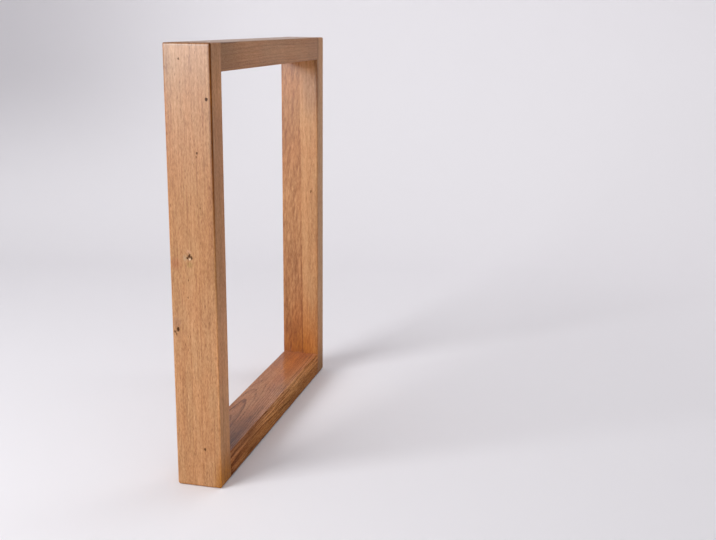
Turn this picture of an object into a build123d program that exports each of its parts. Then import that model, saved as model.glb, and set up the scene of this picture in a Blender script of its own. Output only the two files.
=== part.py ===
from build123d import *
import os

# Wooden table leg: a closed loop of four boards standing on edge.
# Two posts run the full height. A top rail and a bottom rail are butted between them,
# and each of the four corners is held by a pair of glued, fluted dowels.
# Millimetres. X is the width of the boards, Y runs along the rails, Z is up.
# The origin is the middle of the footprint, on the floor.

# The loop as a whole
loop_height = 720.0
loop_depth = 616.0
board_width = 77.0

# The boards
post_thickness = 44.0
top_rail_thickness = 44.0
bottom_rail_thickness = 48.0

# Edges eased after the loop is glued up
outer_edge_radius = 2.5
inner_edge_radius = 2.0
foot_edge_radius = 5.0

# Corner dowels and their bores
dowel_diameter = 12.0
dowel_in_post = 28.0
dowel_in_rail = 36.0
dowel_spacing = 38.0
dowel_end_chamfer = 1.5
flute_count = 10
flute_depth = 0.6
glue_clearance = 0.1
glue_end_gap = 1.0

# Screw holes that fix the tabletop, bored up through the top rail
screw_hole_diameter = 5.5
screw_head_bore_diameter = 13.0
screw_head_bore_depth = 20.0
inner_screw_spacing = 180.0
outer_screw_spacing = 440.0
wood_movement = 10.0

# Levels and faces that the pieces share
inner_face_y = loop_depth / 2 - post_thickness
top_rail_underside = loop_height - top_rail_thickness
opening_height = top_rail_underside - bottom_rail_thickness
opening_middle = bottom_rail_thickness + opening_height / 2
dowel_bore_radius = dowel_diameter / 2 + glue_clearance
rail_axes = {
    "top": top_rail_underside + top_rail_thickness / 2,
    "bottom": bottom_rail_thickness / 2,
}
post_sides = {"front": -1, "rear": 1}
dowel_sides = {"left": -1, "right": 1}


def joint_plane(side, facing, height=0.0, across=0.0):
    """The plane of a butt joint between a post and a rail, facing along Y the given way."""
    return Plane(
        origin=(across, side * inner_face_y, height),
        x_dir=(1, 0, 0),
        z_dir=(0, facing, 0),
    )


os.makedirs("parts", exist_ok=True)

# The whole loop, glued up and with its edges eased, from which the boards are parted
with BuildPart() as loop:
    with BuildSketch(Plane.YZ):
        with Locations((0, loop_height / 2)):
            Rectangle(loop_depth, loop_height)
    extrude(amount=board_width / 2, both=True)
    foot_edges = edges().group_by(Axis.Z)[0]
    fillet(foot_edges, radius=foot_edge_radius)
    arrises = edges().filter_by(Axis.Z) + edges().group_by(Axis.Z)[-1]
    fillet(arrises, radius=outer_edge_radius)
    with BuildSketch(Plane.YZ):
        with Locations((0, opening_middle)):
            Rectangle(2 * inner_face_y, opening_height)
    extrude(amount=board_width, both=True, mode=Mode.SUBTRACT)
    side_faces = faces().filter_by(Axis.X).sort_by(Axis.X)
    for side_face in (side_faces[0], side_faces[-1]):
        fillet(side_face.inner_wires()[0].edges(), radius=inner_edge_radius)

# The two posts, full height, with blind dowel bores in their inner faces
for post_name, side in post_sides.items():
    with BuildPart() as post:
        add(loop.part)
        split(bisect_by=joint_plane(side, side), keep=Keep.TOP)
        for height in rail_axes.values():
            with Locations(joint_plane(side, -side, height)):
                with GridLocations(dowel_spacing, 1, 2, 1):
                    Hole(dowel_bore_radius, depth=dowel_in_post + glue_end_gap)
    post.part.label = post_name + "_post"
    export_step(post.part, "parts/" + post.part.label + ".step")

# The bottom rail, with dowel bores in its end grain
with BuildPart() as bottom_rail:
    add(loop.part)
    split(bisect_by=Plane.XY.offset(opening_middle), keep=Keep.BOTTOM)
    for side in post_sides.values():
        split(bisect_by=joint_plane(side, -side), keep=Keep.TOP)
        with Locations(joint_plane(side, side, rail_axes["bottom"])):
            with GridLocations(dowel_spacing, 1, 2, 1):
                Hole(dowel_bore_radius, depth=dowel_in_rail + glue_end_gap)
bottom_rail.part.label = "bottom_rail"
export_step(bottom_rail.part, "parts/bottom_rail.step")

# The top rail: the same end bores, and four counterbored screw holes from below.
# The outer two are slots, so that a solid tabletop can swell and shrink across its grain.
with BuildPart() as top_rail:
    add(loop.part)
    split(bisect_by=Plane.XY.offset(opening_middle), keep=Keep.TOP)
    for side in post_sides.values():
        split(bisect_by=joint_plane(side, -side), keep=Keep.TOP)
        with Locations(joint_plane(side, side, rail_axes["top"])):
            with GridLocations(dowel_spacing, 1, 2, 1):
                Hole(dowel_bore_radius, depth=dowel_in_rail + glue_end_gap)
    underside = Plane(origin=(0, 0, top_rail_underside), x_dir=(0, 1, 0), z_dir=(0, 0, -1))
    with Locations(underside):
        with GridLocations(inner_screw_spacing, 1, 2, 1):
            CounterBoreHole(
                radius=screw_hole_diameter / 2,
                counter_bore_radius=screw_head_bore_diameter / 2,
                counter_bore_depth=screw_head_bore_depth,
                depth=top_rail_thickness,
            )
    with BuildSketch(underside):
        with GridLocations(outer_screw_spacing, 1, 2, 1):
            SlotOverall(screw_hole_diameter + wood_movement, screw_hole_diameter)
    extrude(amount=-top_rail_thickness, mode=Mode.SUBTRACT)
    with BuildSketch(underside):
        with GridLocations(outer_screw_spacing, 1, 2, 1):
            SlotOverall(screw_head_bore_diameter + wood_movement, screw_head_bore_diameter)
    extrude(amount=-screw_head_bore_depth, mode=Mode.SUBTRACT)
top_rail.part.label = "top_rail"
export_step(top_rail.part, "parts/top_rail.step")

# The dowels, two at each corner: chamfered at both ends, with flutes that let the glue past
dowel_length = dowel_in_post + dowel_in_rail
for post_name, side in post_sides.items():
    for rail_name, height in rail_axes.items():
        for hand, across in dowel_sides.items():
            seat = joint_plane(side, side, height, across * dowel_spacing / 2)
            with BuildPart() as dowel:
                with BuildSketch(seat.offset(-dowel_in_rail)):
                    Circle(dowel_diameter / 2)
                extrude(amount=dowel_length)
                chamfer(dowel.edges(), length=dowel_end_chamfer)
                with BuildSketch(seat.offset(-dowel_in_rail)):
                    with PolarLocations(dowel_diameter / 2, flute_count):
                        RegularPolygon(flute_depth, 4)
                extrude(amount=dowel_length, mode=Mode.SUBTRACT)
            dowel.part.label = "_".join(["dowel", post_name, rail_name, hand])
            export_step(dowel.part, "parts/" + dowel.part.label + ".step")
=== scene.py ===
import bpy
import bmesh
from math import cos, pi, radians, sin
from mathutils import Euler, Matrix, Vector


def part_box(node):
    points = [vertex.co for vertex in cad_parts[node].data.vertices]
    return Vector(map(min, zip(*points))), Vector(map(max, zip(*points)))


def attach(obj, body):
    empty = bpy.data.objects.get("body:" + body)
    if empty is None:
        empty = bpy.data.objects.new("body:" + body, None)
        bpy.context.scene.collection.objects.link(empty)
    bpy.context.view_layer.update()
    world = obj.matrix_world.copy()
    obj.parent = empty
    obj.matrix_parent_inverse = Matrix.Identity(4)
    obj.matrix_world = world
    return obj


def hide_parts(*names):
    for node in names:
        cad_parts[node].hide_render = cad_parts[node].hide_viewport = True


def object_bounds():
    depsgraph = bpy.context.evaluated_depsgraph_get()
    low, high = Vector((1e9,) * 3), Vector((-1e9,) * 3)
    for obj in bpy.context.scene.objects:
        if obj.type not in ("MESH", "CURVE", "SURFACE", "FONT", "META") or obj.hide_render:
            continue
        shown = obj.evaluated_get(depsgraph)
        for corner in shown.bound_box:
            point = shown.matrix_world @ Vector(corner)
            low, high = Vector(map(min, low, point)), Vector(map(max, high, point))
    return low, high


# Wooden table leg: a closed loop of four hardwood boards on a pale sweep.
# Metres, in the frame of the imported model: X across the boards, Y along the rails, Z up.

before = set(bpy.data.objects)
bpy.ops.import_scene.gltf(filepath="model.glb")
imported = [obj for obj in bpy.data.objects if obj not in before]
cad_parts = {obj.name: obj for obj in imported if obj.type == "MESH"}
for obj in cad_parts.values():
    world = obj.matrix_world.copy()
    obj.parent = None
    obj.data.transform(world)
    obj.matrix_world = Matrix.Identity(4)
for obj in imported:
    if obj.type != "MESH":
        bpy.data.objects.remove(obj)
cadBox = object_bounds()
print("frame loaded:", len(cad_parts), "nodes")


# Small helpers for node trees of both kinds

def addNode(tree, kind, inputs=None, **settings):
    node = tree.nodes.new(kind)
    for key, value in settings.items():
        setattr(node, key, value)
    for key, value in (inputs or {}).items():
        if isinstance(value, bpy.types.NodeSocket):
            tree.links.new(value, node.inputs[key])
        else:
            node.inputs[key].default_value = value
    return node


def calc(tree, operation, *values, clamp=False):
    node = addNode(tree, "ShaderNodeMath", dict(enumerate(values)), operation=operation, use_clamp=clamp)
    return node.outputs[0]


def vecCalc(tree, operation, *values):
    keys = (0, "Scale") if operation == "SCALE" else range(len(values))
    node = addNode(tree, "ShaderNodeVectorMath", dict(zip(keys, values)), operation=operation)
    return node.outputs["Value" if operation == "LENGTH" else "Vector"]


def parts(tree, vector):
    return addNode(tree, "ShaderNodeSeparateXYZ", {0: vector}).outputs


def joined(tree, x, y, z):
    return addNode(tree, "ShaderNodeCombineXYZ", {0: x, 1: y, 2: z}).outputs[0]


def ramped(tree, value, low, high, toLow=0.0, toHigh=1.0, smooth=True):
    kind = "SMOOTHSTEP" if smooth else "LINEAR"
    inputs = {"Value": value, "From Min": low, "From Max": high, "To Min": toLow, "To Max": toHigh}
    return addNode(tree, "ShaderNodeMapRange", inputs, interpolation_type=kind).outputs[0]


# The boards' meshes

eased = {
    "outerRadius": 0.0025,  # edges round the outside of the loop
    "innerRadius": 0.002,  # edges round its opening
    "footRadius": 0.005,  # lower edges, rounded more so that they don't chip
    "edgeVariation": 0.12,  # how unevenly the edges were sanded, as a share of the radius
    "edgeWaves": 22.0,  # and how often that changes in a metre
    "relief": 0.00007,  # deepest hollow of the planed and sanded faces
    "hollowsAcross": 55.0,  # hollows in a metre across the grain
    "hollowsAlong": 7.0,  # and along it
    "rowSpacing": 0.002,  # mesh rows along the grain
    "acrossSpacing": 0.0025,  # and across it
    "edgeRows": 4,  # mesh rows in each half of an eased edge
    "snapReach": 0.00101,  # a post's row this near to a level of the opening is drawn to it
    "jointReach": 0.0004,  # what lies this near to a joint face stays flat
    "crispAngle": 40,  # past this many degrees an edge isn't shaded smooth
    "seed": 7,
}
tiny = 1e-9  # keeps a division from zero


def spreadRows(tree, sizes):
    # The cube's rows are spread evenly over the flats and gathered at the edges
    unit = addNode(tree, "GeometryNodeInputPosition").outputs[0]
    side = vecCalc(tree, "SIGN", unit)
    reach = vecCalc(tree, "ABSOLUTE", unit)
    rows = joined(tree, sizes["Rows X"], sizes["Rows Y"], sizes["Rows Z"])
    steps = vecCalc(tree, "SUBTRACT", rows, (1, 1, 1))
    edgeShare = vecCalc(tree, "DIVIDE", (2 * eased["edgeRows"],) * 3, steps)
    flatShare = vecCalc(tree, "SUBTRACT", (1, 1, 1), edgeShare)

    # The lower edges of what stands on the floor take more room than the others
    half = vecCalc(tree, "SCALE", sizes["Board size"], 0.5)
    lowest = vecCalc(tree, "SUBTRACT", sizes["Board centre"], half)
    loopHalf = vecCalc(tree, "SCALE", sizes["Loop size"], 0.5)
    floor = vecCalc(tree, "SUBTRACT", sizes["Loop centre"], loopHalf)
    lift = calc(tree, "SUBTRACT", parts(tree, lowest)[2], parts(tree, floor)[2])
    onFloor = calc(tree, "LESS_THAN", lift, 1e-5)
    atFoot = calc(tree, "MULTIPLY", onFloor, calc(tree, "LESS_THAN", parts(tree, side)[2], 0.0))
    extra = calc(tree, "SUBTRACT", sizes["Foot edge radius"], sizes["Outer edge radius"])
    zoneZ = calc(tree, "MULTIPLY_ADD", extra, atFoot, sizes["Outer edge radius"])
    zone = joined(tree, sizes["Outer edge radius"], sizes["Outer edge radius"], zoneZ)

    flat = vecCalc(tree, "MINIMUM", vecCalc(tree, "DIVIDE", reach, flatShare), (1, 1, 1))
    flat = vecCalc(tree, "MULTIPLY", flat, vecCalc(tree, "SUBTRACT", half, zone))
    past = vecCalc(tree, "MAXIMUM", vecCalc(tree, "SUBTRACT", reach, flatShare), (0, 0, 0))
    turn = vecCalc(tree, "SCALE", vecCalc(tree, "DIVIDE", past, edgeShare), pi / 4)
    bent = vecCalc(tree, "MULTIPLY", vecCalc(tree, "TANGENT", turn), zone)
    spread = vecCalc(tree, "MULTIPLY", side, vecCalc(tree, "ADD", flat, bent))
    return vecCalc(tree, "ADD", spread, sizes["Board centre"])


def drawnToOpening(tree, sizes, place):
    # The nearest rows are drawn to the levels of the opening and of its eased edges
    openHalfZ = parts(tree, vecCalc(tree, "SCALE", sizes["Opening size"], 0.5))[2]
    middleZ = parts(tree, sizes["Opening centre"])[2]
    x, y, z = parts(tree, place)
    for direction in (-1, 1):
        for radii in (0, 1):
            depth = calc(tree, "MULTIPLY_ADD", sizes["Inner edge radius"], radii, openHalfZ)
            level = calc(tree, "MULTIPLY_ADD", depth, direction, middleZ)
            gap = calc(tree, "SUBTRACT", level, z)
            near = calc(tree, "LESS_THAN", calc(tree, "ABSOLUTE", gap), sizes["Snap reach"])
            z = calc(tree, "MULTIPLY_ADD", gap, near, z)
    return joined(tree, x, y, z)


def roundedShare(tree, a, b):
    # The share that is left of both measures past an edge's core, once the square edge is round
    greater = calc(tree, "MAXIMUM", a, b)
    diagonal = vecCalc(tree, "LENGTH", joined(tree, a, b, 0.0))
    share = calc(tree, "DIVIDE", greater, calc(tree, "MAXIMUM", diagonal, tiny))
    touched = calc(tree, "GREATER_THAN", calc(tree, "MINIMUM", a, b), 1e-7)
    return calc(tree, "MULTIPLY_ADD", calc(tree, "SUBTRACT", share, 1.0), touched, 1.0)


def pastCore(tree, reach, core):
    return vecCalc(tree, "MAXIMUM", vecCalc(tree, "SUBTRACT", reach, core), (0, 0, 0))


def roundedOutside(tree, sizes, place, wander):
    # What stands past the core is drawn from a square to a round edge,
    # apart from the lower edges, which have a rounding of their own
    outerRadius = calc(tree, "MULTIPLY", wander, sizes["Outer edge radius"])
    footRadius = calc(tree, "MULTIPLY", wander, sizes["Foot edge radius"])
    loopHalf = vecCalc(tree, "SCALE", sizes["Loop size"], 0.5)
    offset = vecCalc(tree, "SUBTRACT", place, sizes["Loop centre"])
    reach = vecCalc(tree, "ABSOLUTE", offset)
    below = calc(tree, "LESS_THAN", parts(tree, offset)[2], 0.0)
    core = vecCalc(tree, "SUBTRACT", loopHalf, joined(tree, *[outerRadius] * 3))
    core = vecCalc(tree, "ADD", core, joined(tree, 0.0, 0.0, below))
    footCore = vecCalc(tree, "SUBTRACT", loopHalf, joined(tree, *[footRadius] * 3))
    fx, fy, fz = parts(tree, pastCore(tree, reach, footCore))
    outwards = calc(tree, "MAXIMUM", fx, fy)
    downwards = calc(tree, "MULTIPLY", fz, below)

    past = pastCore(tree, reach, core)
    px, py, pz = parts(tree, past)
    longest = calc(tree, "MAXIMUM", calc(tree, "MAXIMUM", px, py), pz)
    length = calc(tree, "MAXIMUM", vecCalc(tree, "LENGTH", past), tiny)
    past = vecCalc(tree, "SCALE", past, calc(tree, "DIVIDE", longest, length))
    reach = vecCalc(tree, "ADD", vecCalc(tree, "MINIMUM", reach, core), past)
    spare = calc(tree, "SUBTRACT", calc(tree, "ADD", calc(tree, "ADD", px, py), pz), longest)
    outerEase = calc(tree, "DIVIDE", spare, outerRadius, clamp=True)

    footPast = pastCore(tree, reach, footCore)
    inside = vecCalc(tree, "SUBTRACT", reach, footPast)
    share = roundedShare(tree, outwards, downwards)
    reach = vecCalc(tree, "ADD", inside, vecCalc(tree, "SCALE", footPast, share))
    footEase = calc(tree, "DIVIDE", calc(tree, "MINIMUM", outwards, downwards), footRadius, clamp=True)
    place = vecCalc(tree, "MULTIPLY", vecCalc(tree, "SIGN", offset), reach)
    place = vecCalc(tree, "ADD", place, sizes["Loop centre"])
    return place, calc(tree, "MAXIMUM", outerEase, footEase)


def roundedOpening(tree, sizes, place, wander):
    # The same on the opening's rim, where the outward measure is the greater of Y and Z
    innerRadius = calc(tree, "MULTIPLY", wander, sizes["Inner edge radius"])
    offset = vecCalc(tree, "SUBTRACT", place, sizes["Opening centre"])
    side = vecCalc(tree, "SIGN", offset)
    ax, ay, az = parts(tree, vecCalc(tree, "ABSOLUTE", offset))
    hx, hy, hz = parts(tree, vecCalc(tree, "SCALE", sizes["Opening size"], 0.5))
    outY = calc(tree, "SUBTRACT", ay, hy)
    outZ = calc(tree, "SUBTRACT", az, hz)
    outward = calc(tree, "MAXIMUM", outY, outZ)
    coreX = calc(tree, "SUBTRACT", hx, innerRadius)
    overX = calc(tree, "MAXIMUM", calc(tree, "SUBTRACT", ax, coreX), 0.0)
    overR = calc(tree, "MAXIMUM", calc(tree, "SUBTRACT", innerRadius, outward), 0.0)
    share = roundedShare(tree, overX, overR)
    newX = calc(tree, "MULTIPLY_ADD", overX, share, calc(tree, "MINIMUM", ax, coreX))
    shift = calc(tree, "MULTIPLY", overR, calc(tree, "SUBTRACT", 1.0, share))
    onPost = calc(tree, "GREATER_THAN", outY, outZ)
    newY = calc(tree, "MULTIPLY_ADD", shift, onPost, ay)
    newZ = calc(tree, "MULTIPLY_ADD", shift, calc(tree, "SUBTRACT", 1.0, onPost), az)
    place = vecCalc(tree, "MULTIPLY", joined(tree, newX, newY, newZ), side)
    place = vecCalc(tree, "ADD", place, sizes["Opening centre"])
    innerEase = calc(tree, "DIVIDE", calc(tree, "MINIMUM", overX, overR), innerRadius, clamp=True)

    # Joint faces stay flat, so that the boards meet without a step
    nearJoint = calc(tree, "LESS_THAN", calc(tree, "ABSOLUTE", outY), eased["jointReach"])
    besideRail = calc(tree, "GREATER_THAN", outZ, -eased["jointReach"] / 2)
    exposed = calc(tree, "SUBTRACT", 1.0, calc(tree, "MULTIPLY", nearJoint, besideRail))
    return place, innerEase, exposed


def stored(tree, geometry, name, value):
    inputs = {"Geometry": geometry, "Name": name, "Value": value}
    node = addNode(tree, "GeometryNodeStoreNamedAttribute", inputs, data_type="FLOAT", domain="POINT")
    return node.outputs[0]


def hollowed(tree, sizes, shaped):
    # Shallow hollows of the sanded faces, only ever inwards
    spot = addNode(tree, "GeometryNodeInputPosition").outputs[0]
    stretched = vecCalc(tree, "MULTIPLY", spot, sizes["Grain stretch"])
    inputs = {"Vector": stretched, "W": sizes["Seed"], "Scale": 1.0, "Detail": 2.0}
    hollow = addNode(tree, "ShaderNodeTexNoise", inputs, noise_dimensions="4D").outputs[0]
    hollow = calc(tree, "MULTIPLY", ramped(tree, hollow, 0.2, 0.8, 0, 1, False), sizes["Relief depth"])
    shown = addNode(tree, "GeometryNodeInputNamedAttribute", {"Name": "exposed"}, data_type="FLOAT")
    hollow = calc(tree, "MULTIPLY", calc(tree, "MULTIPLY", hollow, shown.outputs[0]), -1.0)
    normal = addNode(tree, "GeometryNodeInputNormal").outputs[0]
    inputs = {"Geometry": shaped, "Offset": vecCalc(tree, "SCALE", normal, hollow)}
    shaped = addNode(tree, "GeometryNodeSetPosition", inputs).outputs[0]
    return addNode(tree, "GeometryNodeRemoveAttribute", {"Geometry": shaped, "Name": "exposed"}).outputs[0]


def makeBoardTree():
    tree = bpy.data.node_groups.new("eased board", "GeometryNodeTree")
    sockets = [
        ("Board size", "Vector"), ("Board centre", "Vector"),
        ("Loop size", "Vector"), ("Loop centre", "Vector"),
        ("Opening size", "Vector"), ("Opening centre", "Vector"),
        ("Outer edge radius", "Float"), ("Inner edge radius", "Float"), ("Foot edge radius", "Float"),
        ("Edge variation", "Float"), ("Relief depth", "Float"), ("Grain stretch", "Vector"),
        ("Rows X", "Int"), ("Rows Y", "Int"), ("Rows Z", "Int"),
        ("Snap reach", "Float"), ("Seed", "Float"), ("Material", "Material"),
    ]
    for name, kind in sockets:
        tree.interface.new_socket(name, in_out="INPUT", socket_type="NodeSocket" + kind)
    tree.interface.new_socket("Board", in_out="OUTPUT", socket_type="NodeSocketGeometry")
    sizes = addNode(tree, "NodeGroupInput").outputs
    cube = addNode(tree, "GeometryNodeMeshCube", {"Size": (2, 2, 2)})
    for axis in "XYZ":
        tree.links.new(sizes["Rows " + axis], cube.inputs["Vertices " + axis])
    place = drawnToOpening(tree, sizes, spreadRows(tree, sizes))

    # Hand-sanded edges: the radius wanders a little along them
    inputs = {"Vector": place, "W": sizes["Seed"], "Scale": eased["edgeWaves"], "Detail": 1.0}
    wander = addNode(tree, "ShaderNodeTexNoise", inputs, noise_dimensions="4D").outputs[0]
    wander = calc(tree, "MULTIPLY", ramped(tree, wander, 0.25, 0.75, -1, 1, False), sizes["Edge variation"])
    wander = calc(tree, "ADD", wander, 1.0)
    place, outerEase = roundedOutside(tree, sizes, place, wander)
    place, innerEase, exposed = roundedOpening(tree, sizes, place, wander)
    edge = calc(tree, "MAXIMUM", outerEase, innerEase)
    shaped = stored(tree, cube.outputs["Mesh"], "sandedEdge", edge)
    shaped = stored(tree, shaped, "exposed", exposed)
    shaped = addNode(tree, "GeometryNodeSetPosition", {"Geometry": shaped, "Position": place}).outputs[0]
    shaped = hollowed(tree, sizes, shaped)

    # Smooth, but crisp where a joint was cut
    shaped = addNode(tree, "GeometryNodeSetShadeSmooth", {0: shaped}, domain="FACE").outputs[0]
    angle = addNode(tree, "GeometryNodeInputMeshEdgeAngle").outputs[0]
    crisp = calc(tree, "GREATER_THAN", angle, radians(eased["crispAngle"]))
    inputs = {0: shaped, "Selection": crisp, "Shade Smooth": False}
    shaped = addNode(tree, "GeometryNodeSetShadeSmooth", inputs, domain="EDGE").outputs[0]
    shaped = addNode(tree, "GeometryNodeRealizeInstances", {0: shaped}).outputs[0]
    inputs = {"Geometry": shaped, "Material": sizes["Material"]}
    shaped = addNode(tree, "GeometryNodeSetMaterial", inputs).outputs[0]
    addNode(tree, "NodeGroupOutput", {0: shaped})
    return tree


def prism(name, outline, start, end, axis):
    # A cutter: a closed outline drawn across the axis and carried from start to end along it
    turned = {"Y": lambda a, b, c: (a, c, b), "Z": lambda a, b, c: (a, b, c)}[axis]
    shape = bmesh.new()
    first = [shape.verts.new(turned(a, b, start)) for a, b in outline]
    last = [shape.verts.new(turned(a, b, end)) for a, b in outline]
    shape.faces.new(first)
    shape.faces.new(last)
    for i in range(len(outline)):
        j = (i + 1) % len(outline)
        shape.faces.new((first[i], first[j], last[j], last[i]))
    bmesh.ops.recalc_face_normals(shape, faces=shape.faces)
    mesh = bpy.data.meshes.new(name)
    shape.to_mesh(mesh)
    shape.free()
    return mesh


def stadium(centre, radius, travel, steps=24):
    # A circle, or a slot with that much travel along the second direction
    outline = []
    for i in range(2 * steps):
        turn = pi * i / steps
        shift = travel / 2 if i <= steps else -travel / 2
        outline.append((centre[0] + radius * cos(turn), centre[1] + shift + radius * sin(turn)))
    return outline


holes = {
    "boreRoom": 0.0001,  # glue room round a dowel
    "boreEndRoom": 0.001,
    "screwRadius": 0.00275,
    "headRadius": 0.0065,
    "headDepth": 0.020,
    "roundAt": 0.090,  # from the middle of the rail
    "slotAt": 0.220,
    "slotTravel": 0.010,
    "runOut": 0.01,  # how far a cutter stands out of the wood
}


def dowelBores(low, high):
    meshes = []
    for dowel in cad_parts:
        if not dowel.startswith("dowel_"):
            continue
        start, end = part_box(dowel)
        middle = (start + end) / 2
        meets = start.y < high.y and end.y > low.y and low.z < middle.z < high.z
        if not meets:
            continue
        outline = stadium((middle.x, middle.z), (end.x - start.x) / 2 + holes["boreRoom"], 0)
        room = holes["boreEndRoom"]
        meshes.append(prism(dowel + "_bore", outline, start.y - room, end.y + room, "Y"))
    return meshes


def screwHoles(low, high):
    # Round holes and slots, each with a wider bore for the screw's head below it
    meshes = []
    start = low.z - holes["runOut"]
    for side in (-1, 1):
        for at, travel in (("roundAt", 0), ("slotAt", holes["slotTravel"])):
            centre = (0, side * holes[at])
            shank = stadium(centre, holes["screwRadius"], travel)
            meshes.append(prism("screw_hole", shank, start, high.z + holes["runOut"], "Z"))
            head = stadium(centre, holes["headRadius"], travel)
            meshes.append(prism("screw_hole", head, start, low.z + holes["headDepth"], "Z"))
    return meshes


loopLow, loopHigh = cadBox
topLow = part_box("top_rail")[0]
bottomLow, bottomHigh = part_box("bottom_rail")
openLow = Vector((loopLow.x, bottomLow.y, bottomHigh.z))
openHigh = Vector((loopHigh.x, bottomHigh.y, topLow.z))
boardTree = makeBoardTree()


def makeBoard(node, grainAxis, seed, material):
    low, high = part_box(node)
    size = high - low
    grain = "XYZ".index(grainAxis)
    spacing = [eased["acrossSpacing"]] * 3
    spacing[grain] = eased["rowSpacing"]
    rows = [2 * round(size[i] / spacing[i] / 2) + 2 * eased["edgeRows"] + 1 for i in range(3)]
    stretch = [eased["hollowsAcross"]] * 3
    stretch[grain] = eased["hollowsAlong"]
    values = {
        "Board size": size, "Board centre": (low + high) / 2,
        "Loop size": loopHigh - loopLow, "Loop centre": (loopLow + loopHigh) / 2,
        "Opening size": openHigh - openLow, "Opening centre": (openLow + openHigh) / 2,
        "Outer edge radius": eased["outerRadius"], "Inner edge radius": eased["innerRadius"],
        "Foot edge radius": eased["footRadius"],
        "Edge variation": eased["edgeVariation"], "Relief depth": eased["relief"],
        "Grain stretch": stretch, "Rows X": rows[0], "Rows Y": rows[1], "Rows Z": rows[2],
        "Snap reach": eased["snapReach"] if grainAxis == "Z" else 0.0,
        "Seed": float(eased["seed"] + seed), "Material": material,
    }
    board = bpy.data.objects.new(node + "_board", bpy.data.meshes.new(node + "_board"))
    bpy.context.scene.collection.objects.link(board)
    grow = board.modifiers.new("board", "NODES")
    grow.node_group = boardTree
    for item in boardTree.interface.items_tree:
        if item.in_out == "INPUT":
            value = values[item.name]
            if isinstance(value, (Vector, list)):
                value = [float(v) for v in value]
            grow[item.identifier] = value

    # Bores and screw holes are cut as a joiner drills them
    cutters = []
    meshes = dowelBores(low, high)
    if node == "top_rail":
        meshes += screwHoles(low, high)
    for mesh in meshes:
        cutter = bpy.data.objects.new(mesh.name, mesh)
        bpy.context.scene.collection.objects.link(cutter)
        cut = board.modifiers.new(mesh.name, "BOOLEAN")
        cut.object = cutter
        cut.solver = "MANIFOLD"
        cutters.append(cutter)
    bpy.context.view_layer.update()
    depsgraph = bpy.context.evaluated_depsgraph_get()
    mesh = bpy.data.meshes.new_from_object(board.evaluated_get(depsgraph), depsgraph=depsgraph)
    board.modifiers.clear()
    board.data = mesh
    mesh.name = node + "_board"
    for cutter in cutters:
        bpy.data.objects.remove(cutter)
    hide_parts(node)
    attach(board, "root")
    print(node, "board:", len(mesh.polygons), "faces")


# The wood of each board. The pith, where the rings' centre lies, is given across and through the
# board, and lean is how far it leans in a metre, up to leanEnd. Flecks, streaks, long and bands are
# the strengths of ever broader marks along the grain. Satin is the strength of the finish.

frontPostWood = {
    "pith": (0.115, 0.085), "lean": (0.0, 0.0), "ringGap": 0.0042, "ringStrength": 0.07,
    "pale": (0.580, 0.304, 0.140), "middle": (0.460, 0.217, 0.087), "dark": (0.275, 0.105, 0.036),
    "flecks": 1.20, "streaks": 0.86, "long": 0.50, "bands": 0.42, "pores": 0.95, "seed": 1.3,
    # across, along, radius, darkness
    "knots": [
        (-0.0056, 0.0340, 0.0026, 0.97),
        (-0.0086, 0.0298, 0.0020, 0.90),
        (-0.0016, 0.0302, 0.0023, 0.95),
        (-0.0050, 0.0318, 0.0022, 0.60),
        (0.0303, 0.2770, 0.0026, 0.97),
        (0.0126, 0.1956, 0.0017, 0.85),
        (0.0115, 0.1895, 0.0013, 0.6),
        (-0.0123, 0.3362, 0.0016, 0.85),
        (-0.0286, -0.0888, 0.0030, 0.97),
        (-0.0334, -0.0925, 0.0021, 0.75),
        (-0.0318, -0.0968, 0.0022, 0.55),
        (0.0116, -0.2917, 0.0020, 0.85),
        (-0.0079, -0.0063, 0.0013, 0.6),
        (-0.0098, -0.0343, 0.0014, 0.6),
        (0.0154, 0.1104, 0.0013, 0.5),
    ],
    # centre, half sizes and tint of patches; most are the wood's own colour, and those marked are painted
    # shade or painted light
    "patches": [
        # painted shade: the upper half of the arris between the front face and the right side is darkened
        ((0.0385, -0.0220, 0.29), (0.0060, 0.0060, 0.34), (0.42, 0.28, 0.10)),
        # painted highlight along the lower half of that arris
        ((0.0385, -0.0220, -0.22), (0.0045, 0.0050, 0.26), (1.30, 1.36, 1.45)),
        ((0.0385, 0.0220, 0.10), (0.0030, 0.0160, 0.60), (1.04, 1.02, 1.10)),
        # painted warm bounce light: the foot of the right side is deeper and more orange
        ((0.0385, 0.0, -0.37), (0.02, 0.06, 0.09), (0.82, 0.64, 0.16)),
        ((0.0385, 0.0, -0.14), (0.01, 0.06, 0.11), (1.16, 1.14, 1.14)),
        ((0.0385, 0.0, 0.295), (0.01, 0.06, 0.06), (1.17, 1.18, 1.15)),
        # painted shade along the top edge of the front face
        ((0.0, -0.022, 0.36), (0.40, 0.007, 0.006), (0.74, 0.72, 0.72)),
        ((0.0, -0.022, 0.20), (0.10, 0.10, 0.34), (0.92, 0.90, 0.92)),
        ((0.0, -0.022, 0.35), (0.30, 0.10, 0.08), (0.91, 0.96, 1.00)),
        ((0.0, -0.022, 0.07), (0.30, 0.10, 0.15), (0.97, 0.96, 0.88)),
        # round the knots: a painted highlight on the lower lip of the first knots' pits, and wood that is
        # lighter or darker beside them
        ((-0.0050, -0.022, 0.0280), (0.0024, 0.004, 0.0024), (1.50, 2.30, 3.90)),
        ((-0.0064, -0.022, 0.0395), (0.0060, 0.004, 0.0050), (1.14, 1.22, 1.60)),
        ((-0.0130, -0.022, 0.0300), (0.0050, 0.004, 0.0075), (0.96, 1.15, 1.45)),
        ((-0.0050, -0.022, 0.0190), (0.0070, 0.004, 0.0075), (0.88, 0.96, 0.80)),
        ((-0.0290, -0.022, 0.0195), (0.0130, 0.004, 0.0140), (0.90, 0.74, 0.72)),
        ((-0.0300, -0.022, -0.0770), (0.0110, 0.004, 0.0120), (0.84, 0.82, 0.92)),
    ],
}

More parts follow.
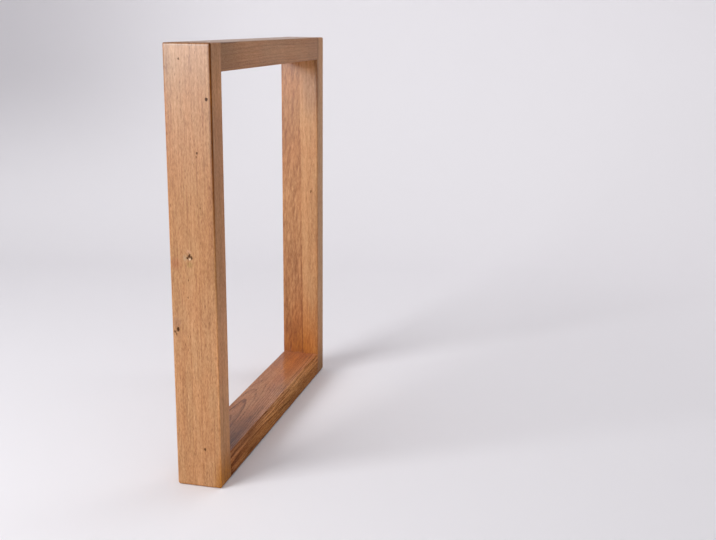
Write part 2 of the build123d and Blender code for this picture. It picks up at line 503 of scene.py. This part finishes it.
rearPostWood = {
    "pith": (-0.018, 0.050), "lean": (0.022, 0.030), "ringGap": 0.0036, "ringStrength": 0.05,
    "pale": (0.590, 0.306, 0.134), "middle": (0.465, 0.213, 0.082), "dark": (0.270, 0.098, 0.032),
    "flecks": 1.10, "streaks": 0.75, "long": 0.30, "bands": 0.25, "pores": 0.4, "seed": 4.7,
    "coarse": 0.7, "satin": 0.38,
    "heart": (0.003, 0.15, 0.30),  # where it ends across the board, how deep it is, and its border's line
    "slant": (0.20, 1.15),  # lean and strength of the heart's fibres
    "knots": [(0.0243, 0.0450, 0.0024, 0.6)],
    "patches": [
        # painted warm bounce light from the bottom rail: the foot of the inner face is deeper and more
        # orange
        ((0.0, -0.022, -0.40), (0.10, 0.10, 0.27), (0.84, 0.54, 0.12)),
        ((0.0385, 0.0, -0.36), (0.01, 0.06, 0.08), (0.60, 0.66, 0.66)),
        ((0.0385, 0.004, 0.0), (0.004, 0.030, 0.90), (0.95, 1.05, 1.20)),
        # painted shadow of the top rail on the upper right of the inner face
        ((0.0220, -0.022, 0.245), (0.028, 0.02, 0.060), (0.82, 0.80, 0.84)),
        # painted shade down the upper right arris under the top rail
        ((0.0385, -0.022, 0.34), (0.008, 0.016, 0.20), (0.62, 0.60, 0.62)),
        ((-0.0385, -0.022, 0.25), (0.04, 0.016, 0.26), (0.88, 0.86, 0.88)),
    ],
}

topRailWood = {
    "pith": (0.090, -0.060), "lean": (0.01, 0.0), "ringGap": 0.0040, "ringStrength": 0.26,
    "pale": (0.560, 0.285, 0.140), "middle": (0.430, 0.198, 0.082), "dark": (0.270, 0.106, 0.038),
    "flecks": 0.9, "streaks": 0.60, "long": 0.50, "bands": 0.35, "pores": 0.6, "seed": 8.1,
    "knots": [],
    "patches": [
        ((0.0385, 0.0, -0.29), (0.03, 0.06, 0.16), (0.70, 0.70, 0.65)),
        ((0.0385, 0.0, -0.02), (0.01, 0.06, 0.12), (1.02, 1.07, 1.16)),
        ((0.0385, 0.0, 0.26), (0.03, 0.06, 0.10), (0.88, 0.90, 0.94)),
        # painted shade: the whole top face is darker and greyer
        ((0.0, -0.022, 0.0), (0.30, 0.003, 2.00), (0.80, 0.88, 0.94)),
    ],
}

bottomRailWood = {
    "pith": (-0.020, 0.0190), "lean": (0.0, 0.06), "leanEnd": 0.09,
    "ringGap": 0.0031, "ringStrength": 0.48, "ringSpread": 0.4,
    "ringsEnd": (0.02, 0.11, 0.15),  # where the rings begin and cease to fade, and what is left of them
    "pale": (0.480, 0.212, 0.090), "middle": (0.360, 0.138, 0.050), "dark": (0.150, 0.047, 0.016),
    "flecks": 1.2, "streaks": 0.85, "long": 0.50, "bands": 0.45, "pores": 0.6, "seed": 12.9,
    "veins": 0.27, "satin": 0.62, "satinRoughness": 0.17, "bareSheen": 0.0,
    "knots": [(0.0343, -0.2610, 0.0012, 0.8)],
    "patches": [
        # painted warm light on the far end of the top: the rear post's orange reflection and bounce
        ((0.0, -0.024, 0.30), (0.055, 0.10, 0.34), (1.10, 0.74, 0.20)),
        # near end of the top: partly the wood's own greyer colour, partly painted shade from the front post
        ((0.0, -0.024, -0.27), (0.10, 0.10, 0.25), (0.50, 0.44, 0.46)),
        ((0.0200, -0.024, -0.15), (0.025, 0.02, 0.12), (0.84, 0.80, 0.72)),
        ((0.0385, 0.004, 0.0), (0.005, 0.040, 0.60), (1.26, 1.34, 1.10)),
        ((0.0385, 0.010, 0.22), (0.005, 0.026, 0.36), (0.84, 0.92, 1.00)),
        # painted highlight along the arris between the top and the right side
        ((0.0385, -0.024, 0.12), (0.010, 0.008, 0.60), (1.12, 1.20, 1.40)),
        ((0.0385, -0.024, 0.25), (0.012, 0.010, 0.22), (0.95, 0.92, 0.80)),
        ((0.0385, -0.024, -0.24), (0.012, 0.010, 0.12), (1.35, 1.40, 1.40)),
        ((0.0385, 0.004, -0.25), (0.005, 0.030, 0.11), (1.42, 1.42, 1.45)),
        ((0.0385, -0.013, 0.0), (0.006, 0.017, 0.60), (1.40, 1.58, 1.85)),
        # painted contact shadow along the lower edge of the right side, by the floor
        ((0.0385, 0.024, 0.0), (0.02, 0.007, 0.60), (0.60, 0.55, 0.50)),
    ],
}


# What all four boards share: marks in a metre, across and along the grain, and finishes
timber = {
    "flecks": (680, 170), "streaks": (400, 30), "long": (260, 4.0), "bands": (46, 1.6),
    "sway": (9, 2.2), "swayReach": 0.020,  # slow bends of the grain
    "tremble": (60, 9), "trembleReach": 0.0016,  # and quick ones
    "pores": (640, 95), "poreColour": (0.36, 0.23, 0.12),
    "border": (6, 1.5), "borderReach": 0.012, "borderBlur": 0.0012, "borderWidth": 0.0022,
    "heartTint": (0.94, 0.88, 0.84), "slant": (210, 34),
    "veins": (110, 1.6), "veinsFrom": (0.008, 0.024),  # veins show on one side of the board only
    "drifts": (38, 9), "warmDrift": (1.025, 0.985, 0.955), "coolDrift": (0.98, 1.012, 1.025),
    "knotRim": (480, 360), "knotRaggedness": 1.5, "knotColour": (0.055, 0.017, 0.004), "knotDepth": 6.0,
    "endTint": (0.62, 0.52, 0.44), "endAmount": 0.75,  # open end grain drinks in more finish
    "jointTint": (0.35, 0.27, 0.22), "jointAmount": 0.6, "jointWidth": (0.0004, 0.0001),
    "sideTint": (1.0, 0.97, 0.92),
    "edgeTint": (1.22, 1.20, 1.16), "edgeAmount": 0.35,
    "roughness": 0.46, "bump": 0.55, "bumpDepth": 0.00012,
}


def noise(tree, at, waves, seed, detail=2.0, rough=0.5, colour=False):
    across, along = waves
    spot = vecCalc(tree, "MULTIPLY", at, (across, across, along))
    inputs = {"Vector": spot, "W": seed, "Scale": 1.0, "Detail": detail, "Roughness": rough}
    node = addNode(tree, "ShaderNodeTexNoise", inputs, noise_dimensions="4D")
    return node.outputs[1 if colour else 0]


def centred(tree, value):
    return calc(tree, "SUBTRACT", value, 0.5)


def sway(tree, at, waves, seed, detail, reach):
    # A shift to any side that changes from place to place
    shift = noise(tree, at, waves, seed, detail, colour=True)
    return vecCalc(tree, "SCALE", vecCalc(tree, "SUBTRACT", shift, (0.5, 0.5, 0.5)), reach)


def tinted(tree, colour, amount, tint, blend="MULTIPLY"):
    inputs = {0: amount, 6: colour, 7: (*tint, 1)}
    return addNode(tree, "ShaderNodeMix", inputs, data_type="RGBA", blend_type=blend).outputs[2]


def growthRings(tree, look, bent):
    # Rings round a leaning pith, inside or beside the board, each with its darker late wood
    across, through, along = parts(tree, bent)
    straight = calc(tree, "SMOOTH_MIN", along, look.get("leanEnd", 9.0), 0.04)
    fromPith = []
    for place, pith, lean in zip((across, through), look["pith"], look["lean"]):
        gap = calc(tree, "SUBTRACT", place, pith)
        fromPith.append(calc(tree, "MULTIPLY_ADD", straight, -lean, gap))
    radius = vecCalc(tree, "LENGTH", joined(tree, *fromPith, 0.0))
    rings = calc(tree, "DIVIDE", radius, look["ringGap"])
    year = calc(tree, "FLOOR", rings)
    season = calc(tree, "SUBTRACT", rings, year)
    inputs = {"W": calc(tree, "ADD", year, look["seed"])}
    yearTone = addNode(tree, "ShaderNodeTexWhiteNoise", inputs, noise_dimensions="1D").outputs[0]
    rise = calc(tree, "POWER", ramped(tree, season, 0.0, 0.90), 4.5)
    late = calc(tree, "MULTIPLY", rise, ramped(tree, season, 0.90, 1.0, 1.0, 0.0))
    spread = look.get("ringSpread", 1.1)
    strength = calc(tree, "MULTIPLY_ADD", yearTone, spread, 0.8 - spread / 2)
    late = calc(tree, "MULTIPLY", late, strength)
    if "ringsEnd" in look:
        start, end, left = look["ringsEnd"]
        late = calc(tree, "MULTIPLY", late, ramped(tree, along, start, end, 1.0, left))
    return late, yearTone


def redderHeart(tree, look, place, bent, tone):
    # One side of the board is deeper, with leaning fibres and a dark line along its border
    seed = look["seed"]
    edge, step, line = look["heart"]
    spot = parts(tree, bent)
    wander = centred(tree, noise(tree, place, timber["border"], seed + 7.0, 1.0))
    border = calc(tree, "MULTIPLY_ADD", wander, timber["borderReach"], spot["X"])
    blur = timber["borderBlur"]
    heart = ramped(tree, border, edge - blur, edge + blur, 1.0, 0.0)
    tone = calc(tree, "MULTIPLY_ADD", calc(tree, "SUBTRACT", heart, 0.6), step, tone)
    lean, strength = look["slant"]
    x, y, z = parts(tree, place)
    leaning = joined(tree, calc(tree, "MULTIPLY_ADD", z, -lean, x), y, z)
    figure = centred(tree, noise(tree, leaning, timber["slant"], seed + 15.0, 2.0, 0.55))
    tone = calc(tree, "MULTIPLY_ADD", calc(tree, "MULTIPLY", figure, heart), strength, tone)
    offBorder = calc(tree, "ABSOLUTE", calc(tree, "SUBTRACT", border, edge - 0.001))
    dark = ramped(tree, offBorder, 0.0, timber["borderWidth"], 1.0, 0.0)
    dark = calc(tree, "MULTIPLY", dark, ramped(tree, spot["Z"], -0.12, 0.02, 1.0, 0.0))
    return heart, calc(tree, "MULTIPLY_ADD", dark, line, tone)


def darkVeins(tree, look, bent, tone):
    vein = centred(tree, noise(tree, bent, timber["veins"], look["seed"] + 13.0, 1.0))
    vein = ramped(tree, calc(tree, "ABSOLUTE", vein), 0.0, 0.055, 1.0, 0.0)
    shown = ramped(tree, parts(tree, bent)["X"], *timber["veinsFrom"])
    return calc(tree, "MULTIPLY_ADD", calc(tree, "MULTIPLY", vein, shown), look["veins"], tone)


def toneColour(tree, look, tone):
    ramp = addNode(tree, "ShaderNodeValToRGB", {0: tone})
    stops = ramp.color_ramp.elements
    stops[0].position, stops[1].position = 0.15, 0.95
    stops[0].color, stops[1].color = (*look["pale"], 1), (*look["dark"], 1)
    stops.new(0.5).color = (*look["middle"], 1)
    return ramp.outputs[0]


def withPatches(tree, look, place, colour):
    # Warmer and cooler drifts, and single patches, some of them painted shade or painted light
    drift = noise(tree, place, timber["drifts"], look["seed"] + 9.0, 3.0, 0.6)
    amount = ramped(tree, drift, 0.35, 0.65)
    inputs = {0: amount, 6: (*timber["warmDrift"], 1), 7: (*timber["coolDrift"], 1)}
    drifts = addNode(tree, "ShaderNodeMix", inputs, data_type="RGBA").outputs[2]
    inputs = {0: 1.0, 6: colour, 7: drifts}
    colour = addNode(tree, "ShaderNodeMix", inputs, data_type="RGBA", blend_type="MULTIPLY").outputs[2]
    for middle, halfSize, tint in look["patches"]:
        spot = vecCalc(tree, "DIVIDE", vecCalc(tree, "SUBTRACT", place, middle), halfSize)
        amount = ramped(tree, vecCalc(tree, "LENGTH", spot), 0.25, 1.0, 1.0, 0.0)
        colour = tinted(tree, colour, amount, tint)
    return colour


def poreDashes(tree, bent):
    # Short dark dashes along the grain
    across, along = timber["pores"]
    cells = vecCalc(tree, "MULTIPLY", bent, (across, across, along))
    cells = addNode(tree, "ShaderNodeTexVoronoi", {"Vector": cells, "Scale": 1.0, "Randomness": 1.0})
    dash = ramped(tree, cells.outputs["Distance"], 0.12, 0.36, 1.0, 0.0)
    chance = parts(tree, cells.outputs["Color"])[0]
    return calc(tree, "MULTIPLY", dash, ramped(tree, chance, 0.72, 0.97))


def pinKnots(tree, look, place, thickness, colour):
    # Dark specks with a ragged rim in one face, a little longer along the grain
    pit = None
    ragged = sway(tree, place, timber["knotRim"], look["seed"] + 11.0, 1.0, timber["knotRaggedness"])
    for acrossAt, alongAt, radius, dark in look["knots"]:
        spot = vecCalc(tree, "SUBTRACT", place, (acrossAt, -thickness / 2, alongAt))
        spot = vecCalc(tree, "MULTIPLY", spot, (1 / radius, 0.25 / radius, 0.7 / radius))
        distance = vecCalc(tree, "LENGTH", vecCalc(tree, "ADD", spot, ragged))
        core = ramped(tree, distance, 0.5, 1.15, 1.0, 0.0)
        amount = calc(tree, "MULTIPLY", core, dark)
        colour = tinted(tree, colour, amount, timber["knotColour"], "MIX")
        pit = calc(tree, "MAXIMUM", pit, core) if pit else core
    return colour, pit


def woodTone(tree, look, place, bent):
    # Fibres, broad bands and rings, all added to one tone
    seed = look["seed"]
    coarse = look.get("coarse", 1.0)
    fleckWaves = [waves * coarse for waves in timber["flecks"]]
    streakWaves = [waves * coarse for waves in timber["streaks"]]
    flecks = centred(tree, noise(tree, place, fleckWaves, seed, rough=0.6))
    streaks = centred(tree, noise(tree, place, streakWaves, seed + 1.0, rough=0.6))
    late, yearTone = growthRings(tree, look, bent)
    marks = [
        (flecks, look["flecks"]),
        (streaks, look["streaks"]),
        (centred(tree, noise(tree, place, timber["long"], seed + 6.0)), look["long"]),
        (centred(tree, noise(tree, place, timber["bands"], seed + 2.0)), look["bands"]),
        (centred(tree, yearTone), 0.10),
        (late, look["ringStrength"]),
    ]
    tone = 0.5
    for mark, strength in marks:
        tone = calc(tree, "MULTIPLY_ADD", mark, strength, tone)
    heart = None
    if "heart" in look:
        heart, tone = redderHeart(tree, look, place, bent, tone)
    if "veins" in look:
        tone = darkVeins(tree, look, bent, tone)
    return tone, heart, flecks, streaks, late


def endsAndJoints(tree, grainAxis, length, place, facing, colour):
    # Open end grain is darker, and a hairline of glue closes each joint
    endGrain = ramped(tree, calc(tree, "ABSOLUTE", facing[grainAxis]), 0.75, 0.95)
    colour = tinted(tree, colour, calc(tree, "MULTIPLY", endGrain, timber["endAmount"]), timber["endTint"])
    if grainAxis == "Y":
        fromMiddle = calc(tree, "ABSOLUTE", parts(tree, place)["Z"])
        start, end = [length / 2 - width for width in timber["jointWidth"]]
        amount = calc(tree, "MULTIPLY", ramped(tree, fromMiddle, start, end), timber["jointAmount"])
        colour = tinted(tree, colour, amount, timber["jointTint"])
    return endGrain, colour


def hardwood(name, node, grainAxis, look):
    material = bpy.data.materials.new(name)
    material.use_nodes = True
    tree = material.node_tree
    tree.nodes.clear()
    low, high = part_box(node)
    thickness = high.y - low.y if grainAxis == "Z" else high.z - low.z

    # Board coordinates: x across the board, y through it, z along the grain
    coordinates = addNode(tree, "ShaderNodeTexCoord").outputs
    turn = (0, 0, 0) if grainAxis == "Z" else (radians(90), 0, 0)
    back = Matrix.Rotation(turn[0], 3, "X") @ ((low + high) / 2)
    inputs = {"Vector": coordinates["Object"], "Rotation": turn, "Location": -back}
    place = addNode(tree, "ShaderNodeMapping", inputs).outputs[0]
    seed = look["seed"]
    slow = sway(tree, place, timber["sway"], seed + 3.0, 2.0, timber["swayReach"])
    quick = sway(tree, place, timber["tremble"], seed + 5.0, 1.0, timber["trembleReach"])
    bent = vecCalc(tree, "ADD", vecCalc(tree, "ADD", place, slow), quick)
    tone, heart, flecks, streaks, late = woodTone(tree, look, place, bent)
    colour = toneColour(tree, look, tone)
    if heart:
        colour = tinted(tree, colour, heart, timber["heartTint"])
    colour = withPatches(tree, look, place, colour)
    pore = poreDashes(tree, bent)
    colour = tinted(tree, colour, calc(tree, "MULTIPLY", pore, look["pores"]), timber["poreColour"])
    pit = None
    if look["knots"]:
        colour, pit = pinKnots(tree, look, place, thickness, colour)
    facing = parts(tree, coordinates["Normal"])
    endGrain, colour = endsAndJoints(tree, grainAxis, max(high - low), place, facing, colour)

    # The loop's sides, the faces across X, are a little deeper in colour and more matt
    sideFacing = ramped(tree, calc(tree, "ABSOLUTE", facing["X"]), 0.4, 0.9)
    colour = tinted(tree, colour, sideFacing, timber["sideTint"])
    satin = calc(tree, "MULTIPLY_ADD", sideFacing, -0.84, 1.0)
    satin = calc(tree, "MULTIPLY", satin, look.get("satin", 0.5))
    if pit:
        satin = calc(tree, "MULTIPLY", satin, calc(tree, "SUBTRACT", 1.0, pit))

    # Sanded edges are a little paler and drier
    edge = addNode(tree, "ShaderNodeAttribute", attribute_name="sandedEdge").outputs["Fac"]
    satin = calc(tree, "MULTIPLY", satin, ramped(tree, edge, 0.0, 0.15, 1.0, 0.1))
    satin = calc(tree, "MULTIPLY", satin, calc(tree, "MULTIPLY_ADD", endGrain, -0.85, 1.0))
    colour = tinted(tree, colour, calc(tree, "MULTIPLY", edge, timber["edgeAmount"]), timber["edgeTint"])

    dull = calc(tree, "MULTIPLY_ADD", flecks, 0.25, timber["roughness"])
    dull = calc(tree, "MULTIPLY_ADD", pore, 0.25, dull)
    dull = calc(tree, "MULTIPLY_ADD", late, -0.06, dull)
    dull = calc(tree, "MULTIPLY_ADD", edge, 0.06, dull, clamp=True)

    height = 0.5
    for mark, strength in ((flecks, 0.5), (streaks, 0.4), (late, 0.25), (pore, -0.9)):
        height = calc(tree, "MULTIPLY_ADD", mark, strength, height)
    if pit:
        height = calc(tree, "MULTIPLY_ADD", pit, -timber["knotDepth"], height)
    inputs = {"Strength": timber["bump"], "Distance": timber["bumpDepth"], "Height": height}
    bump = addNode(tree, "ShaderNodeBump", inputs).outputs[0]
    shader = addNode(tree, "ShaderNodeBsdfPrincipled", {
        "Base Color": colour, "Roughness": dull, "Normal": bump,
        "IOR": 1.45, "Specular IOR Level": look.get("bareSheen", 0.1),
        "Coat Weight": satin, "Coat Roughness": look.get("satinRoughness", 0.34), "Coat IOR": 1.5})
    addNode(tree, "ShaderNodeOutputMaterial", {0: shader.outputs[0]})
    return material


boards = [
    ("front_post", "Z", frontPostWood),
    ("rear_post", "Z", rearPostWood),
    ("top_rail", "Y", topRailWood),
    ("bottom_rail", "Y", bottomRailWood),
]
for seed, (node, grainAxis, look) in enumerate(boards):
    wood = hardwood(node.replace("_", " ") + " hardwood", node, grainAxis, look)
    makeBoard(node, grainAxis, seed, wood)


# Dowels: bare fluted wood, hidden in the joints

dowelLook = {
    "pale": (0.66, 0.46, 0.27), "dark": (0.42, 0.25, 0.12), "roughness": 0.75,
    "fibres": (900.0, 25, 900.0),  # in a metre, along each axis
    "bump": 0.5, "bumpDepth": 0.0001,
}


def dowelWood():
    material = bpy.data.materials.new("bare dowel wood")
    material.use_nodes = True
    tree = material.node_tree
    tree.nodes.clear()
    here = addNode(tree, "ShaderNodeTexCoord").outputs["Object"]
    place = addNode(tree, "ShaderNodeMapping", {"Vector": here, "Scale": dowelLook["fibres"]}).outputs[0]
    inputs = {"Vector": place, "Scale": 1.0, "Detail": 3.0}
    fibres = addNode(tree, "ShaderNodeTexNoise", inputs).outputs[0]
    ramp = addNode(tree, "ShaderNodeValToRGB", {0: fibres})
    stops = ramp.color_ramp.elements
    stops[0].position, stops[1].position = 0.3, 0.65
    stops[0].color, stops[1].color = (*dowelLook["dark"], 1), (*dowelLook["pale"], 1)
    inputs = {"Strength": dowelLook["bump"], "Distance": dowelLook["bumpDepth"], "Height": fibres}
    bump = addNode(tree, "ShaderNodeBump", inputs).outputs[0]
    inputs = {"Base Color": ramp.outputs[0], "Normal": bump, "Roughness": dowelLook["roughness"]}
    shader = addNode(tree, "ShaderNodeBsdfPrincipled", inputs)
    addNode(tree, "ShaderNodeOutputMaterial", {0: shader.outputs[0]})
    return material


bareWood = dowelWood()
for name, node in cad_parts.items():
    if name.startswith("dowel_"):
        node.data.materials.clear()
        node.data.materials.append(bareWood)
print("dowels finished")


# Camera, at the photograph's angle

view = {
    "place": (0.6143, -1.7309, 0.7541),
    "left": 13.71,  # degrees to the left of +Y
    "down": 13.985,
    "roll": 0.52,
    "lens": 50.37,
    "sensor": 36,
    "clip": (0.05, 50),
}
camera = bpy.data.objects.new("camera", bpy.data.cameras.new("camera"))
bpy.context.scene.collection.objects.link(camera)
camera.data.lens = view["lens"]
camera.data.sensor_width = view["sensor"]
camera.data.clip_start, camera.data.clip_end = view["clip"]
aim = Euler((radians(90 - view["down"]), 0, radians(view["left"])), "XYZ").to_matrix()
rolled = aim @ Matrix.Rotation(radians(view["roll"]), 3, "Z")
camera.matrix_world = Matrix.Translation(view["place"]) @ rolled.to_4x4()
bpy.context.scene.camera = camera


# Pale sweep: a floor that curves up into a backdrop, square to the camera

sweep = {
    "front": -4.0, "bend": 1.25, "radius": 0.9, "top": 4.0, "half": 5.0, "steps": 24,
    # paintedShadeColour is painted shade: the backdrop's upper left corner is coloured darker, where less
    # light reaches it
    "colour": (0.86, 0.84, 0.865), "paintedShadeColour": (0.60, 0.58, 0.605),
    "farAcross": (-1.25, -0.1), "farUp": (0.05, 0.6),  # where the darker corner of the backdrop fades out
    "roughness": 0.9, "sheen": 0.2,
}


def mattPaper():
    material = bpy.data.materials.new("matt paper")
    material.use_nodes = True
    tree = material.node_tree
    here = addNode(tree, "ShaderNodeTexCoord").outputs["Object"]
    inputs = {"Vector": here, "Rotation": (0, 0, -radians(view["left"]))}
    place = parts(tree, addNode(tree, "ShaderNodeMapping", inputs).outputs[0])
    # painted shade: the backdrop's upper left is coloured darker
    toLeft = ramped(tree, place["X"], *sweep["farAcross"], 1.0, 0.0)
    amount = calc(tree, "MULTIPLY", toLeft, ramped(tree, place["Z"], *sweep["farUp"]))
    inputs = {0: amount, 6: (*sweep["colour"], 1), 7: (*sweep["paintedShadeColour"], 1)}
    paper = addNode(tree, "ShaderNodeMix", inputs, data_type="RGBA").outputs[2]
    shader = tree.nodes["Principled BSDF"]
    tree.links.new(paper, shader.inputs["Base Color"])
    shader.inputs["Roughness"].default_value = sweep["roughness"]
    shader.inputs["Specular IOR Level"].default_value = sweep["sheen"]
    return material


def makeSweep():
    profile = [(sweep["front"], 0.0), (sweep["front"] / 2, 0.0), (0.0, 0.0)]
    for i in range(sweep["steps"] + 1):
        turn = radians(90) * i / sweep["steps"]
        profile.append((sweep["bend"] + sweep["radius"] * sin(turn), sweep["radius"] * (1 - cos(turn))))
    profile.append((sweep["bend"] + sweep["radius"], sweep["top"]))
    mesh = bpy.data.meshes.new("sweep")
    turn = Matrix.Rotation(radians(view["left"]), 3, "Z")
    corners = [turn @ Vector((x, y, z)) for y, z in profile for x in (-sweep["half"], sweep["half"])]
    faces = [(2 * i, 2 * i + 1, 2 * i + 3, 2 * i + 2) for i in range(len(profile) - 1)]
    mesh.from_pydata(corners, [], faces)
    mesh.shade_smooth()
    mesh.materials.append(mattPaper())
    floor = bpy.data.objects.new("sweep", mesh)
    bpy.context.scene.collection.objects.link(floor)
    return floor


makeSweep()
print("sweep in place")


# Light: one big soft window from the front left, a lamp on the backdrop, and a soft room round both

light = {
    "window": {
        "place": (-1.41, -1.88, 1.62), "target": (0, 0, 1.0), "size": (1.4, 1.5),
        "power": 60.5, "colour": (0.97, 0.985, 1.0),
    },
    "backdrop light": {
        "place": (1.3, 1.2, 2.8), "target": (1.0, 2.6, 0.3), "size": (2.5, 1.0),
        "power": 19.5, "colour": (1, 1, 1),
    },
    # a low bright pane that only the finish mirrors, for the sheen at the posts' tops
    "low pane": {
        "place": (-0.95, -1.95, 1.10), "target": (0, 0, 0.7), "size": (0.8, 0.3),
        "power": 82.0, "colour": (0.97, 0.985, 1.0),
    },
}
roomColour = (0.435, 0.43, 0.44)

for name, look in light.items():
    lamp = bpy.data.lights.new(name, "AREA")
    lamp.shape = "RECTANGLE"
    lamp.size, lamp.size_y = look["size"]
    lamp.energy = look["power"]
    lamp.color = look["colour"]
    panel = bpy.data.objects.new(name, lamp)
    aim = (Vector(look["target"]) - Vector(look["place"])).to_track_quat("-Z", "Y")
    panel.matrix_world = Matrix.Translation(look["place"]) @ aim.to_matrix().to_4x4()
    panel.visible_diffuse = name != "low pane"
    bpy.context.scene.collection.objects.link(panel)

world = bpy.data.worlds.new("room")
world.use_nodes = True
background = world.node_tree.nodes["Background"]
background.inputs["Color"].default_value = (*roomColour, 1)
background.inputs["Strength"].default_value = 1.0
bpy.context.scene.world = world
bpy.context.scene.view_settings.view_transform = "Standard"
print("lights in place")

print("scene ready")
